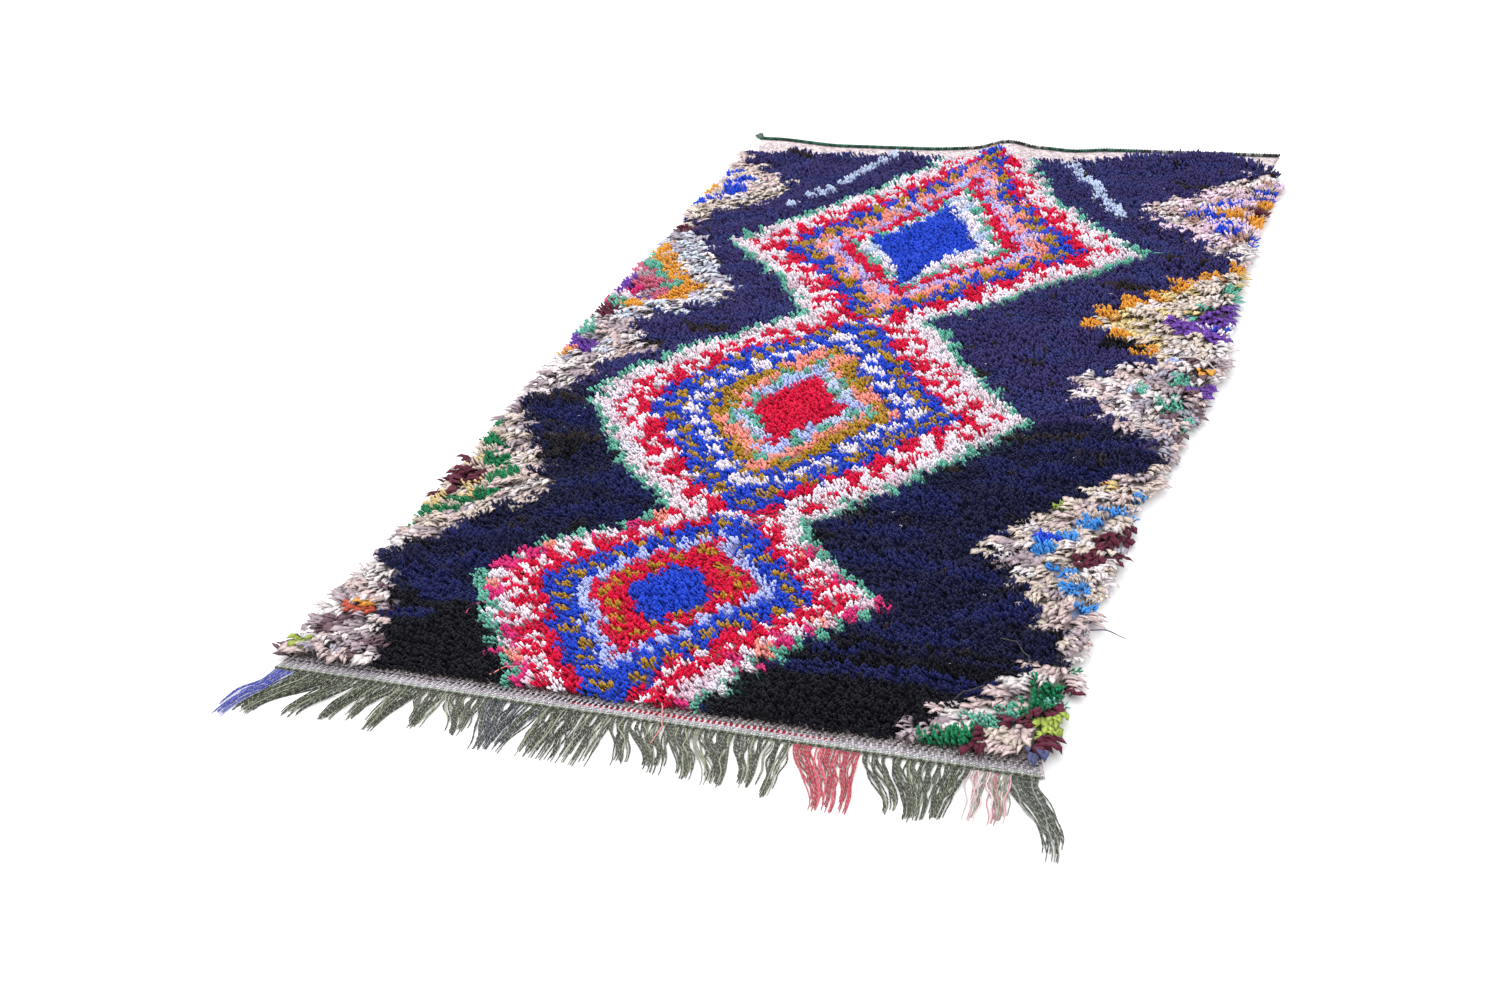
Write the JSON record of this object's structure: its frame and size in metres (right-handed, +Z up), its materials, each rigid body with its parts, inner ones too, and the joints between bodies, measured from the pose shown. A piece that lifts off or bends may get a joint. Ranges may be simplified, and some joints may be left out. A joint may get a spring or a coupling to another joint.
{
  "type": "boucherouite rug",
  "caption": "Rectangular shag rug with wavy sides: a thick rag and wool pile knotted on a flat woven ground, bare bands at both ends and a bunched fringe on one.",
  "frame": {"origin": "middle of the rug's box, on the floor that it lies on", "axes": "+Z up from the floor, +Y along the rug from the fringed end to the plain end, +X across the rug"},
  "size_m": [1.2792, 2.3482, 0.0339],
  "materials": {
    "ground_wool": "matte",
    "pile_rags": "matte",
    "fringe_wool": "matte",
    "edging_wool": "matte"
  },
  "bodies": {
    "root": {"ground_weave": "ground_wool", "rag_pile": "pile_rags", "warp_fringe": "fringe_wool", "far_edging": "edging_wool"}
  },
  "joints": []
}
